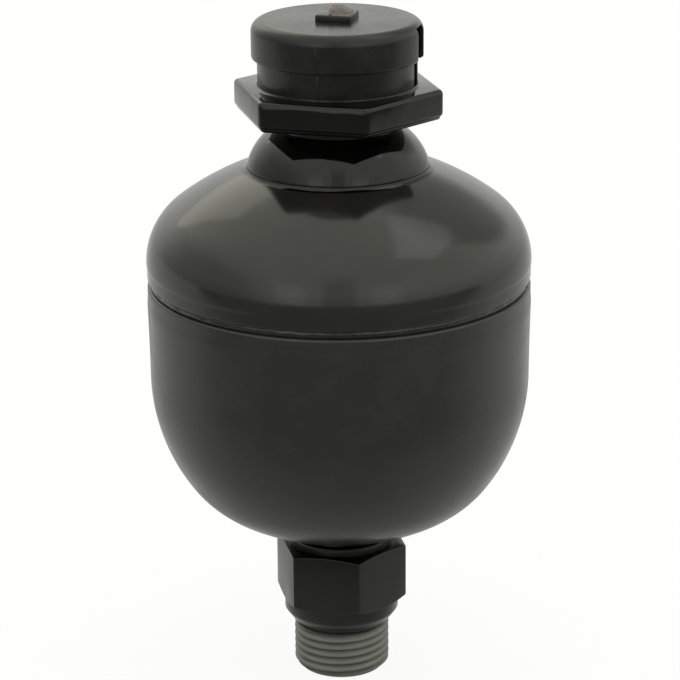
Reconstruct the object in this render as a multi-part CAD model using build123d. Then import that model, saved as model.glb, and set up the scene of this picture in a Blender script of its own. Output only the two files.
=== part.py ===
from build123d import *
import math
import os

# Small welded diaphragm accumulator, gas side up, port stud down.
# Millimetres, +Z up, origin at the centre of the port stud's lower end.

# Port fitting, from the stud's end upwards
thread_radius = 9.0          # M18 x 1.5, male
thread_length = 9.3
thread_end_chamfer = 1.1
relief_length = 0.5          # thread run-out groove
relief_depth = 0.9
cone_length = 2.2            # sealing cone under the washer face
cone_step = 0.25             # its small end stands this far outside the thread
cone_rise = 1.55
washer_length = 2.0
port_hex_across = 22.0
port_hex_length = 11.65
port_hex_face_inset = 0.2    # the turned chamfers start this far inside the flats
lower_chamfer_angle = 30.0
upper_chamfer_angle = 16.0
port_bore_radius = 4.0
port_bore_length = 24.0
port_mouth_chamfer = 0.6
throat_step = 1.0
port_neck_step = 0.6         # the neck that passes through the pole stands outside the thread
port_neck_length = 2.05      # between the hexagon and the shell
port_bead_width = 1.9
port_bead_height = 1.7

# Lower half shell: a ball that flattens towards its pole
wall = 3.0
ball_radius = 35.15
lower_knuckle_share = 0.575  # of the ball's radius
lower_crown_share = 1.279
flattening_angle = 54.4      # from the pole, where the ball turns into the knuckle
lower_length = 18.05         # from the ball's widest circle up to the seam
rim_flare = 0.2
turned_band_depth = 3.6      # weld preparation turned on each half, below and above the seam
turned_depth = 0.1           # skin taken off there

# Upper half shell: a short cylinder and a torispherical dome
upper_length = 3.5           # from the seam to the dome
dome_depth_share = 0.574     # of the radius
dome_knuckle_share = 0.359

# Seam weld
groove_width = 1.3
groove_depth = 1.3
weld_depth = 0.25            # crown of the weld, below the skin of the lower half
weld_crown = 0.35
lip_round = 0.25

# Diaphragm, its clamp and its button
ledge_depth = 7.9            # from the seam down to the ledge that carries the bead
bead_height = 4.5
bead_thickness = 3.0
counterbore_depth = 0.55     # counterbore above the ledge, into the wall
clamp_height = 7.0
diaphragm_gap = 0.4          # between the resting diaphragm and the lower shell
diaphragm_thickness = 2.0
button_radius = 8.1
button_recess = 2.7          # depth of the counterbore that the button closes
button_stem_radius = 2.5
button_head_radius = 5.5
button_head_height = 1.6

# Gas boss, from its foot upwards
boss_spigot_radius = 8.0
gas_hex_across = 34.0
gas_hex_length = 5.6
gas_hex_bevel_height = 0.6
gas_hex_bevel_depth = 0.35
gas_hex_corner_round = 0.8
gas_hex_edge_round = 0.35
collar_step = 1.05           # the collar's ball is this much larger than the hexagon's flats
collar_height = 9.2
collar_sink = 6.0            # the ball's centre lies this far below the collar's edge
collar_ledge = 0.15          # between the dome and the collar's edge, where the collar bears
boss_seat_inset = 1.0        # the collar bears on the dome inside this, and is welded outside it
boss_bead_inset = 0.4
gas_neck_radius = 13.0       # M26 x 1.5, under the cap
gas_neck_length = 8.4
gas_neck_chamfer = 0.8
screw_pocket_radius = 7.3
screw_pocket_depth = 7.6
gas_thread_radius = 4.0      # M8
gas_thread_length = 13.8
gas_hole_radius = 2.0

# Charging screw and its bonded seal
screw_length = 12.0
screw_head_step = 2.5        # outside the thread
screw_head_height = 5.2
screw_socket_across = 6.0
screw_socket_depth = 3.4
seal_thickness = 1.1
seal_overhang = 0.4          # outside the screw's head

# Protective cap
cap_skirt_length = 5.0
cap_head_length = 6.9
cap_head_step = 1.05         # the head stands outside the skirt
cap_top_thickness = 2.1
cap_step_height = 1.7
cap_wall = 1.35
cap_shoulder_round = 2.0
cap_lower_chamfer = 0.6
cap_slot_width = 2.6         # down the skirt
cap_notch_width = 4.2        # through the head
cap_slot_roof = 0.7          # left above the slot
cap_line_width = 0.4         # mould parting line, a quarter turn from the slot
cap_line_height = 0.15
cap_pad_size = 6.5
cap_pad_height = 1.2
cap_pad_round = 0.25
cap_turn = 1.0               # degrees that the pushed-on cap stands turned from the hexes
gate_stub_radius = 1.6
gate_stub_height = 1.3

# Clearances
slip = 0.1                   # one turned piece inside another, on the radius
bond = 0.03                  # moulded or welded faces
seat_gap = 0.05              # pieces laid on one another


# Port fitting's radii and heights
relief_radius = thread_radius - relief_depth
cone_radius = thread_radius + cone_step
washer_radius = cone_radius + cone_rise
neck_radius = thread_radius + port_neck_step
throat_radius = port_bore_radius - throat_step
relief_low = thread_length
cone_low = relief_low + relief_length
washer_low = cone_low + cone_length
port_hex_low = washer_low + washer_length
port_hex_high = port_hex_low + port_hex_length
lower_pole = port_hex_high + port_neck_length

# Shells' radii
lower_knuckle_radius = lower_knuckle_share * ball_radius
lower_crown_radius = lower_crown_share * ball_radius
lower_rim_radius = ball_radius + rim_flare
lower_band_radius = lower_rim_radius - turned_depth
upper_radius = lower_rim_radius
upper_band_radius = upper_radius - turned_depth
dome_depth = dome_depth_share * upper_radius
dome_knuckle_radius = dome_knuckle_share * upper_radius
groove_root_radius = lower_band_radius - groove_depth
weld_radius = lower_band_radius - weld_depth
counterbore_radius = ball_radius - wall + counterbore_depth
upper_wall = upper_radius - counterbore_radius


def at(radius, height):
    return Vector(radius, 0, height)


def on_circle(centre, radius, angle):
    turn = math.radians(angle)
    return centre + Vector(radius * math.cos(turn), 0, radius * math.sin(turn))


def arc(centre, radius, start, end):
    """Arc in the XZ half plane, with its angles in degrees above +X."""
    return ThreePointArc(
        on_circle(centre, radius, start),
        on_circle(centre, radius, (start + end) / 2),
        on_circle(centre, radius, end),
    )


def turned(*pieces):
    """Revolves a closed outline. Points between arcs are joined by straight lines."""
    edges = []
    last = None
    for piece in pieces + (pieces[0],):
        start = piece if isinstance(piece, Vector) else piece @ 0
        if last is not None and (start - last).length > 1e-6:
            edges.append(Line(last, start))
        if isinstance(piece, Vector):
            last = piece
        elif piece is not pieces[0] or not edges:
            edges.append(piece)
            last = piece @ 1
    return revolve(make_face(edges), Axis.Z)


def hex_bar(across, low, high):
    """Hexagon bar with two corners on the X axis."""
    return extrude(Pos(0, 0, low) * RegularPolygon(across / math.sqrt(3), 6), high - low)


# Bottom of the lower shell: ball, knuckle and crown arcs, each tangent to the next
knuckle_offset = ball_radius - lower_knuckle_radius
crown_offset = lower_crown_radius - lower_knuckle_radius
crown_turn = -math.degrees(
    math.acos(knuckle_offset * math.sin(math.radians(flattening_angle)) / crown_offset)
)
cup_depth = (
    lower_crown_radius
    + crown_offset * math.sin(math.radians(crown_turn))
    + knuckle_offset * math.cos(math.radians(flattening_angle))
)
ball_middle = at(0, lower_pole + cup_depth)
lower_knuckle_centre = on_circle(ball_middle, knuckle_offset, flattening_angle - 90)
lower_crown_centre = at(0, lower_pole + lower_crown_radius)

# Heights up the vessel
seam_height = ball_middle.Z + lower_length
bead_low = seam_height - ledge_depth
dome_base = seam_height + upper_length

# Dome of the upper shell: crown arc tangent to a knuckle arc tangent to the cylinder
dome_crown_radius = (
    upper_radius**2 - 2 * upper_radius * dome_knuckle_radius + dome_depth**2
) / (2 * (dome_depth - dome_knuckle_radius))
dome_crown_centre = at(0, dome_base + dome_depth - dome_crown_radius)
dome_knuckle_centre = at(upper_radius - dome_knuckle_radius, dome_base)
dome_turn = math.degrees(
    math.atan2(dome_crown_radius - dome_depth, upper_radius - dome_knuckle_radius)
)


def dome_height(radius, inset=0.0):
    """Height of the upper shell's crown, inset from its outer skin, at a radius."""
    return dome_crown_centre.Z + math.sqrt((dome_crown_radius - inset) ** 2 - radius**2)


def crown_height(radius, inset=0.0):
    """Height of the lower shell's crown, inset from its outer skin, at a radius."""
    return lower_crown_centre.Z - math.sqrt((lower_crown_radius - inset) ** 2 - radius**2)


# Gas side's radii and heights
collar_radius = gas_hex_across / 2 + collar_step
collar_edge_radius = math.sqrt(collar_radius**2 - collar_sink**2)
boss_seat_radius = collar_edge_radius - boss_seat_inset
boss_bead_radius = collar_edge_radius - boss_bead_inset
collar_low = dome_height(boss_seat_radius) + collar_ledge
collar_centre = collar_low - collar_sink
gas_hex_low = collar_low + collar_height
gas_hex_high = gas_hex_low + gas_hex_length
gas_neck_high = gas_hex_high + gas_neck_length
screw_pocket_low = gas_neck_high - screw_pocket_depth
gas_thread_low = screw_pocket_low - gas_thread_length
screw_head_radius = gas_thread_radius + screw_head_step
seal_radius = screw_head_radius + seal_overhang
cap_skirt_radius = gas_neck_radius + slip + cap_wall
cap_head_radius = cap_skirt_radius + cap_head_step
cap_head_low = gas_hex_high + cap_skirt_length
cap_top = cap_head_low + cap_head_length
cap_slot_top = cap_top - cap_slot_roof

# Button's seat in the port fitting
button_seat = crown_height(neck_radius, wall) - button_recess
button_seat_radius = button_radius + 3 * slip


def dome_arc(inset, start, end):
    """The dome's crown between two radii, inset from its outer skin."""
    size = dome_crown_radius - inset
    return arc(
        dome_crown_centre,
        size,
        math.degrees(math.acos(start / size)),
        math.degrees(math.acos(end / size)),
    )


def crown_arc(inset, start, end):
    """The lower shell's crown between two radii, inset from its outer skin."""
    size = lower_crown_radius - inset
    return arc(
        lower_crown_centre,
        size,
        -math.degrees(math.acos(start / size)),
        -math.degrees(math.acos(end / size)),
    )


def cup(inset, hole, rising):
    """The lower shell's bottom as three arcs, from a pole hole to the ball's widest."""
    crown = lower_crown_radius - inset
    hole_angle = -math.degrees(math.acos(hole / crown))
    knuckle = lower_knuckle_radius - inset
    arcs = [
        (lower_crown_centre, crown, hole_angle, crown_turn),
        (lower_knuckle_centre, knuckle, crown_turn, flattening_angle - 90),
        (ball_middle, ball_radius - inset, flattening_angle - 90, 0),
    ]
    if rising:
        return [arc(*row) for row in arcs]
    return [arc(centre, size, end, start) for centre, size, start, end in reversed(arcs)]


def make_upper_shell():
    hole = boss_spigot_radius + slip
    crown = dome_crown_radius
    groove = seam_height + groove_width / 2
    band_top = seam_height + turned_band_depth
    skin = [
        arc(dome_crown_centre, crown, math.degrees(math.acos(hole / crown)), dome_turn),
        arc(dome_knuckle_centre, dome_knuckle_radius, dome_turn, 0),
    ]
    lining = [
        arc(dome_knuckle_centre, dome_knuckle_radius - upper_wall, 0, dome_turn),
        arc(
            dome_crown_centre,
            crown - upper_wall,
            dome_turn,
            math.degrees(math.acos(hole / (crown - upper_wall))),
        ),
    ]
    step = upper_radius - upper_band_radius
    return turned(
        at(counterbore_radius, seam_height),
        *lining,
        *skin,
        at(upper_radius, band_top + step),
        at(upper_band_radius, band_top),
        at(upper_band_radius, groove + lip_round),
        at(upper_band_radius - lip_round, groove),
        at(groove_root_radius, groove),
        at(groove_root_radius, seam_height),
    )


def make_lower_shell():
    hole = neck_radius + slip
    groove = seam_height - groove_width / 2
    band_low = seam_height - turned_band_depth
    step = lower_rim_radius - lower_band_radius
    return turned(
        *cup(wall, hole, True),
        at(ball_radius - wall, bead_low),
        at(counterbore_radius, bead_low),
        at(counterbore_radius, seam_height),
        at(groove_root_radius, seam_height),
        at(groove_root_radius, groove),
        at(lower_band_radius - lip_round, groove),
        at(lower_band_radius, groove - lip_round),
        at(lower_band_radius, band_low),
        at(lower_rim_radius, band_low - step),
        *cup(0, hole, False),
    )


def make_seam_weld():
    half = groove_width / 2
    return turned(
        at(groove_root_radius + bond, seam_height - half),
        at(weld_radius - weld_crown, seam_height - half),
        ThreePointArc(
            at(weld_radius - weld_crown, seam_height - half),
            at(weld_radius, seam_height),
            at(weld_radius - weld_crown, seam_height + half),
        ),
        at(groove_root_radius + bond, seam_height + half),
    )


def make_port_fitting():
    corner = port_hex_across / math.sqrt(3) + port_hex_face_inset
    face = port_hex_across / 2 - port_hex_face_inset
    lower_rise = (corner - face) * math.tan(math.radians(lower_chamfer_angle))
    upper_rise = (corner - face) * math.tan(math.radians(upper_chamfer_angle))
    blank = turned(
        at(0, port_hex_low),
        at(face, port_hex_low),
        at(corner, port_hex_low + lower_rise),
        at(corner, port_hex_high - upper_rise),
        at(face, port_hex_high),
        at(0, port_hex_high),
    )
    stud = turned(
        at(0, 0),
        at(thread_radius - thread_end_chamfer, 0),
        at(thread_radius, thread_end_chamfer),
        at(thread_radius, relief_low),
        at(relief_radius, relief_low + 0.3),
        at(relief_radius, cone_low),
        at(cone_radius, cone_low),
        at(washer_radius, washer_low),
        at(washer_radius, port_hex_low),
        at(0, port_hex_low),
    )
    inside = crown_height(neck_radius, wall)
    neck = Pos(0, 0, port_hex_high) * Cylinder(
        neck_radius, inside - port_hex_high, align=(Align.CENTER, Align.CENTER, Align.MIN)
    )
    bore = turned(
        at(0, -1),
        at(port_bore_radius + port_mouth_chamfer, -1),
        at(port_bore_radius + port_mouth_chamfer, 0),
        at(port_bore_radius, port_mouth_chamfer),
        at(port_bore_radius, port_bore_length),
        at(throat_radius, port_bore_length + 1),
        at(throat_radius, button_seat - 0.5),
        at(throat_radius + 0.5, button_seat),
        at(button_seat_radius, button_seat),
        at(button_seat_radius, inside + 1),
        at(0, inside + 1),
    )
    hexagon = hex_bar(port_hex_across, port_hex_low, port_hex_high) & blank
    return hexagon + stud + neck - bore


def make_port_weld():
    inner = neck_radius + bond
    outer = inner + port_bead_width
    toe = crown_arc(-bond, inner, outer)
    low = crown_height(inner) - port_bead_height
    return turned(
        at(inner, low),
        toe,
        ThreePointArc(
            toe @ 1,
            at(inner + 0.4 * port_bead_width, low + 0.4 * port_bead_height),
            at(inner, low),
        ),
    )


def make_diaphragm():
    near_shell = wall + diaphragm_gap
    inside = near_shell + diaphragm_thickness
    hole = button_stem_radius + bond
    bead_outer = counterbore_radius - slip
    return turned(
        *cup(near_shell, hole, True),
        at(ball_radius - near_shell, bead_low + seat_gap),
        at(bead_outer, bead_low + seat_gap),
        at(bead_outer, bead_low + bead_height),
        at(bead_outer - bead_thickness, bead_low + bead_height),
        *cup(inside, hole, False),
    )


def make_retaining_ring():
    outer = counterbore_radius - slip
    low = bead_low + bead_height + seat_gap
    ring = turned(
        at(outer - bead_thickness, low),
        at(outer, low),
        at(outer, low + clamp_height),
        at(outer - bead_thickness, low + clamp_height),
    )
    top_edges = ring.edges().filter_by(GeomType.CIRCLE).group_by(Axis.Z)[-1]
    return fillet(top_edges, bead_thickness * 0.3)


def make_closing_button():
    below = wall + diaphragm_gap - bond
    above = wall + diaphragm_gap + diaphragm_thickness + bond
    plate = crown_arc(below, button_stem_radius, button_radius)
    head = crown_arc(above, button_head_radius, button_stem_radius)
    top = crown_height(button_head_radius, above) + button_head_height
    low = button_seat + seat_gap
    return turned(
        at(0, low),
        at(button_radius - 0.6, low),
        at(button_radius, low + 0.6),
        arc(
            lower_crown_centre,
            lower_crown_radius - below,
            -math.degrees(math.acos(button_radius / (lower_crown_radius - below))),
            -math.degrees(math.acos(button_stem_radius / (lower_crown_radius - below))),
        ),
        at(button_stem_radius, crown_height(button_stem_radius, above)),
        crown_arc(above, button_stem_radius, button_head_radius),
        at(button_head_radius, top - 0.5),
        at(button_head_radius - 0.5, top),
        at(0, top),
    )


def make_gas_boss():
    seat = dome_arc(-seat_gap, boss_spigot_radius, boss_seat_radius)
    edge_angle = math.degrees(math.asin((collar_low - collar_centre) / collar_radius))
    top_angle = math.degrees(math.asin((gas_hex_low - collar_centre) / collar_radius))
    collar = turned(
        at(0, dome_height(boss_spigot_radius, upper_wall)),
        at(boss_spigot_radius, dome_height(boss_spigot_radius, upper_wall)),
        seat,
        at(boss_seat_radius, collar_low),
        arc(at(0, collar_centre), collar_radius, edge_angle, top_angle),
        at(0, gas_hex_low),
    )
    hexagon = hex_bar(gas_hex_across, gas_hex_low, gas_hex_high)
    hexagon = fillet(hexagon.edges().filter_by(Axis.Z), gas_hex_corner_round)
    foot = hexagon.faces().sort_by(Axis.Z)[0]
    hexagon = chamfer(
        foot.edges(), gas_hex_bevel_depth, gas_hex_bevel_height, reference=foot
    )
    hexagon = fillet(hexagon.edges().group_by(Axis.Z)[-1], gas_hex_edge_round)
    neck = Pos(0, 0, gas_hex_high) * Cylinder(
        gas_neck_radius,
        gas_neck_high - gas_hex_high,
        align=(Align.CENTER, Align.CENTER, Align.MIN),
    )
    neck = chamfer(neck.edges().sort_by(Axis.Z)[-1], gas_neck_chamfer)
    pocket = turned(
        at(0, collar_centre - collar_radius),
        at(gas_hole_radius, collar_centre - collar_radius),
        at(gas_hole_radius, gas_thread_low),
        at(gas_thread_radius, gas_thread_low + gas_hole_radius),
        at(gas_thread_radius, screw_pocket_low),
        at(screw_pocket_radius, screw_pocket_low),
        at(screw_pocket_radius, gas_neck_high + 1),
        at(0, gas_neck_high + 1),
    )
    return collar + hexagon + neck - pocket


def make_boss_weld():
    inner = boss_seat_radius + bond
    foot = dome_arc(-bond, inner, boss_bead_radius)
    top = collar_low - bond
    return turned(
        foot,
        ThreePointArc(
            foot @ 1,
            at(boss_bead_radius - bond, (dome_height(boss_bead_radius) + top) / 2),
            at(boss_bead_radius, top),
        ),
        at(inner, top),
    )


def make_charging_screw():
    head_low = screw_pocket_low + seat_gap + seal_thickness + seat_gap
    tip = head_low - screw_length
    shank = gas_thread_radius - slip
    screw = turned(
        at(0, tip),
        at(shank - 0.7, tip),
        at(shank, tip + 0.7),
        at(shank, head_low),
        at(screw_head_radius, head_low),
        at(screw_head_radius, head_low + screw_head_height - 0.5),
        at(screw_head_radius - 0.5, head_low + screw_head_height),
        at(0, head_low + screw_head_height),
    )
    head_top = head_low + screw_head_height
    return screw - hex_bar(screw_socket_across, head_top - screw_socket_depth, head_top + 1)


def make_bonded_seal():
    low = screw_pocket_low + seat_gap
    hole = gas_thread_radius + slip
    return turned(
        at(hole, low),
        at(seal_radius, low),
        at(seal_radius, low + seal_thickness),
        at(hole, low + seal_thickness),
    )


def make_protective_cap():
    inner = gas_neck_radius + slip
    head_inner = cap_head_radius - cap_wall
    low = gas_hex_high + seat_gap
    step = cap_head_low + cap_step_height
    ceiling = cap_top - cap_top_thickness
    shoulder = arc(
        at(cap_head_radius - cap_shoulder_round, cap_top - cap_shoulder_round),
        cap_shoulder_round,
        0,
        90,
    )
    shell = turned(
        at(inner, low),
        at(cap_skirt_radius, low),
        at(cap_skirt_radius, cap_head_low),
        at(cap_head_radius - cap_lower_chamfer, cap_head_low),
        at(cap_head_radius, cap_head_low + cap_lower_chamfer),
        shoulder,
        at(0, cap_top),
        at(0, ceiling),
        at(head_inner, ceiling),
        at(head_inner, step),
        at(inner, step - (head_inner - inner)),
    )
    slot_length = cap_head_radius
    slot = Pos(gas_neck_radius - 1, 0, cap_slot_top) * Box(
        slot_length,
        cap_slot_width,
        cap_slot_top - low + 1,
        align=(Align.MIN, Align.CENTER, Align.MAX),
    )
    notch = Pos(gas_neck_radius - 1, 0, cap_slot_top) * Box(
        slot_length,
        cap_notch_width,
        cap_slot_top - cap_head_low,
        align=(Align.MIN, Align.CENTER, Align.MAX),
    )
    line = Pos(0, -cap_skirt_radius + cap_wall / 2, low) * Box(
        cap_line_width,
        cap_wall / 2 + cap_line_height,
        cap_head_low - low,
        align=(Align.CENTER, Align.MAX, Align.MIN),
    )
    pad = Pos(0, 0, cap_top) * Box(
        cap_pad_size,
        cap_pad_size,
        cap_pad_height,
        align=(Align.CENTER, Align.CENTER, Align.MIN),
    )
    pad = fillet(pad.edges().group_by(Axis.Z)[-1], cap_pad_round)
    stub = Pos(0, 0, cap_top + cap_pad_height) * Cylinder(
        gate_stub_radius, gate_stub_height, align=(Align.CENTER, Align.CENTER, Align.MIN)
    )
    stub = fillet(stub.edges().sort_by(Axis.Z)[-1], gate_stub_height * 0.4)
    return Rot(0, 0, cap_turn) * (shell - slot - notch + line + pad + stub)


parts = {
    "upper_shell": make_upper_shell,
    "lower_shell": make_lower_shell,
    "seam_weld": make_seam_weld,
    "gas_boss": make_gas_boss,
    "boss_weld": make_boss_weld,
    "port_fitting": make_port_fitting,
    "port_weld": make_port_weld,
    "diaphragm": make_diaphragm,
    "closing_button": make_closing_button,
    "retaining_ring": make_retaining_ring,
    "charging_screw": make_charging_screw,
    "bonded_seal": make_bonded_seal,
    "protective_cap": make_protective_cap,
}
os.makedirs("parts", exist_ok=True)
for node, make in parts.items():
    solid = make()
    print(node, round(solid.volume), solid.is_valid)
    export_step(solid, f"parts/{node}.step")
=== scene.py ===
import math
import bpy
from mathutils import Matrix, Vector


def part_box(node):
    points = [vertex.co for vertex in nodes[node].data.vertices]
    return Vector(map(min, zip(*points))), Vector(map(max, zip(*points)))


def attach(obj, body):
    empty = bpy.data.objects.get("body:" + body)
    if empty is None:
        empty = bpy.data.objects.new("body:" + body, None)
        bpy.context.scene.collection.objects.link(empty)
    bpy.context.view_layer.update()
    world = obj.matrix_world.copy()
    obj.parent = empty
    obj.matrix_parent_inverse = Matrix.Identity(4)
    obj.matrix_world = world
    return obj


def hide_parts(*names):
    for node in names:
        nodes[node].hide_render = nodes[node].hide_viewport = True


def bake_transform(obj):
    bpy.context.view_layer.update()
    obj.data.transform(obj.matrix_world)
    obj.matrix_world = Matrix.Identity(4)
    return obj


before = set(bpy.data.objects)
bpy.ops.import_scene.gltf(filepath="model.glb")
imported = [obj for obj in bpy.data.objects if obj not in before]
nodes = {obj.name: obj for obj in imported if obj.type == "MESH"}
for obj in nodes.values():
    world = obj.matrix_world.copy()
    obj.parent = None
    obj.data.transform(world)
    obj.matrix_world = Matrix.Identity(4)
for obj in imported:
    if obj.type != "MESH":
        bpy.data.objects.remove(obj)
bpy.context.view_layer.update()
mm = 0.001
roundSteps = 240  # faces round a full turn


def deselectAll():
    if bpy.context.mode != "OBJECT":
        bpy.ops.object.mode_set(mode="OBJECT")
    bpy.ops.object.select_all(action="DESELECT")


def makeActive(piece):
    deselectAll()
    piece.select_set(True)
    bpy.context.view_layer.objects.active = piece


def onArc(centre, radius, start, end, step=3.0):
    # points of an arc in the r, z half plane, in millimetres and degrees
    count = max(2, math.ceil(abs(end - start) / step))
    turns = [math.radians(start + (end - start) * k / count) for k in range(count + 1)]
    return [(centre[0] + radius * math.cos(t), centre[1] + radius * math.sin(t)) for t in turns]


def startFromVertex(name, place):
    # a plane merged to the one vertex that a profile is drawn from
    deselectAll()
    bpy.ops.mesh.primitive_plane_add(size=0.01, location=(0, 0, 0))
    piece = bpy.context.object
    piece.name = name
    bpy.ops.object.mode_set(mode="EDIT")
    bpy.ops.mesh.select_mode(type="VERT")
    bpy.ops.mesh.select_all(action="SELECT")
    bpy.ops.mesh.merge(type="CENTER")
    bpy.ops.mesh.select_all(action="SELECT")
    bpy.ops.transform.translate(value=place)
    return piece


def drawProfile(name, outline, closed):
    points = [(r * mm, 0, z * mm) for r, z in outline]
    if closed:
        points.append(points[0])
    piece = startFromVertex(name, points[0])
    for last, point in zip(points, points[1:]):
        step = tuple(b - a for a, b in zip(last, point))
        bpy.ops.mesh.extrude_region_move(TRANSFORM_OT_translate={"value": step})
    bpy.ops.mesh.select_all(action="SELECT")
    return piece


def cleanUp(threshold=1e-7):
    # leaves edit mode with doubles merged and faces outwards
    bpy.ops.mesh.select_all(action="SELECT")
    bpy.ops.mesh.remove_doubles(threshold=threshold)
    bpy.ops.mesh.dissolve_degenerate(threshold=1e-8)
    bpy.ops.mesh.select_all(action="SELECT")
    bpy.ops.mesh.normals_make_consistent(inside=False)
    bpy.ops.object.mode_set(mode="OBJECT")


def turn(name, outline, closed=True, steps=roundSteps):
    # lathe work: the outline goes once round the vessel's axis
    piece = drawProfile(name, outline, closed)
    bpy.ops.mesh.spin(
        steps=steps, dupli=False, angle=math.tau, use_auto_merge=False,
        center=(0, 0, 0), axis=(0, 0, 1),
    )
    cleanUp()
    return piece


def cutWith(piece, tool, operation, crossing=False):
    makeActive(piece)
    cut = piece.modifiers.new("cut", "BOOLEAN")
    cut.operation = operation
    cut.solver = "EXACT"
    cut.use_self = crossing
    cut.object = tool
    bpy.ops.object.modifier_apply(modifier="cut")
    bpy.data.objects.remove(tool)


def roundEdges(piece, width, segments=3, angle=25):
    makeActive(piece)
    bevel = piece.modifiers.new("edges", "BEVEL")
    bevel.width = width * mm
    bevel.segments = segments
    bevel.limit_method = "ANGLE"
    bevel.angle_limit = math.radians(angle)
    bevel.miter_outer = "MITER_ARC"
    bpy.ops.object.modifier_apply(modifier="edges")


def joinAll(name, pieces):
    deselectAll()
    for piece in pieces:
        piece.select_set(True)
    bpy.context.view_layer.objects.active = pieces[0]
    bpy.ops.object.join()
    pieces[0].name = name
    return pieces[0]


def addBlock(name, size, middle):
    deselectAll()
    bpy.ops.mesh.primitive_cube_add(size=mm, location=(0, 0, 0))
    piece = bpy.context.object
    piece.name = name
    bpy.ops.object.mode_set(mode="EDIT")
    bpy.ops.transform.resize(value=size)
    bpy.ops.transform.translate(value=[place * mm for place in middle])
    bpy.ops.object.mode_set(mode="OBJECT")
    return piece


def smooth(piece, angle=32):
    makeActive(piece)
    bpy.ops.object.shade_smooth_by_angle(angle=math.radians(angle))


def sliceFlat(piece, point, normal):
    # saws off everything on the normal's side and closes the cut
    makeActive(piece)
    bpy.ops.object.mode_set(mode="EDIT")
    bpy.ops.mesh.select_all(action="SELECT")
    bpy.ops.mesh.bisect(
        plane_co=point, plane_no=normal, use_fill=True, clear_outer=True, clear_inner=False,
        threshold=1e-7,
    )
    bpy.ops.object.mode_set(mode="OBJECT")


def millHexagon(piece, across):
    # six flats milled on a turned blank, with two corners on the X axis
    for side in range(6):
        turnAngle = math.radians(30 + 60 * side)
        normal = (math.cos(turnAngle), math.sin(turnAngle), 0)
        sliceFlat(piece, [n * across / 2 * mm for n in normal], normal)


def cutThread(name, size):
    # one tooth wound up the stud, sawn flat at both ends, then turned to the blank's outline
    crest = size["radius"]
    root = crest - size["depth"]
    pitch = size["pitch"]
    tooth = [
        (root, 0), (root + 0.04, 0.05 * pitch), (crest - 0.1, 0.30 * pitch), (crest - 0.02, 0.37 * pitch),
        (crest, 0.5 * pitch), (crest - 0.02, 0.63 * pitch), (crest - 0.1, 0.70 * pitch),
        (root + 0.04, 0.95 * pitch), (root, pitch),
    ]
    start = size["low"] - 2 * pitch
    windings = math.ceil((size["high"] - start) / pitch) + 2
    piece = drawProfile(name, [(r, z + start) for r, z in tooth], False)
    bpy.ops.object.mode_set(mode="OBJECT")
    wind = piece.modifiers.new("wind", "SCREW")
    wind.axis = "Z"
    wind.angle = math.tau
    wind.screw_offset = pitch * mm
    wind.iterations = windings
    wind.steps = wind.render_steps = 120
    wind.use_merge_vertices = False
    bpy.ops.object.modifier_apply(modifier="wind")
    bpy.ops.object.mode_set(mode="EDIT")
    cleanUp(2e-6)
    sliceFlat(piece, (0, 0, size["high"] * mm), (0, 0, 1))
    sliceFlat(piece, (0, 0, size["low"] * mm), (0, 0, -1))
    makeActive(piece)
    bpy.ops.object.mode_set(mode="EDIT")
    cleanUp()
    cutWith(piece, turn("blank", size["blank"]), "INTERSECT")
    return piece


def dress(piece, material):
    piece.data.materials.clear()
    piece.data.materials.append(material)
    return piece


def finishPiece(piece, node, body="vessel"):
    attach(piece, body)
    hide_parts(node)


# Finishes


def startGroup(name, inputs, outputs):
    # a node group with named sockets, and its Object coordinates
    group = bpy.data.node_groups.new(name, "ShaderNodeTree")
    for label, kind, value in inputs:
        socket = group.interface.new_socket(name=label, in_out="INPUT", socket_type=kind)
        socket.default_value = value
    for label, kind in outputs:
        group.interface.new_socket(name=label, in_out="OUTPUT", socket_type=kind)
    entry = group.nodes.new("NodeGroupInput")
    leave = group.nodes.new("NodeGroupOutput")
    place = group.nodes.new("ShaderNodeTexCoord").outputs["Object"]
    return group, entry.outputs, leave.inputs, place


def addNode(tree, kind, inputs=None, **settings):
    # a node with its settings, its sockets given either a value or another socket
    node = tree.nodes.new(kind)
    for key, value in settings.items():
        setattr(node, key, value)
    for key, value in (inputs or {}).items():
        if isinstance(value, bpy.types.NodeSocket):
            tree.links.new(value, node.inputs[key])
        else:
            node.inputs[key].default_value = value
    return node


def sums(tree, operation, first, second, third=None):
    node = addNode(tree, "ShaderNodeMath", operation=operation)
    for socket, value in zip(node.inputs, (first, second, third)):
        if isinstance(value, bpy.types.NodeSocket):
            tree.links.new(value, socket)
        elif value is not None:
            socket.default_value = value
    return node.outputs[0]


def times(tree, first, *others):
    for value in others:
        first = sums(tree, "MULTIPLY", first, value)
    return first


def along(tree, place, way):
    return addNode(tree, "ShaderNodeVectorMath", {0: place, 1: way}, operation="DOT_PRODUCT").outputs["Value"]


def grade(tree, value, low, high, newLow=0.0, newHigh=1.0):
    return addNode(tree, "ShaderNodeMapRange", {
        "Value": value, "From Min": low, "From Max": high, "To Min": newLow, "To Max": newHigh,
    }, interpolation_type="SMOOTHSTEP").outputs["Result"]


def blendColours(tree, amount, first, second):
    node = addNode(tree, "ShaderNodeMix", data_type="RGBA", clamp_factor=True)
    for socket, value in ((node.inputs[0], amount), (node.inputs[6], first), (node.inputs[7], second)):
        if isinstance(value, bpy.types.NodeSocket):
            tree.links.new(value, socket)
        else:
            socket.default_value = value
    return node.outputs[2]


def noise(tree, place, scale, detail=2.0, rough=0.5):
    return addNode(tree, "ShaderNodeTexNoise", {
        "Vector": place, "Scale": scale, "Detail": detail, "Roughness": rough,
    }).outputs["Fac"]


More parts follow.
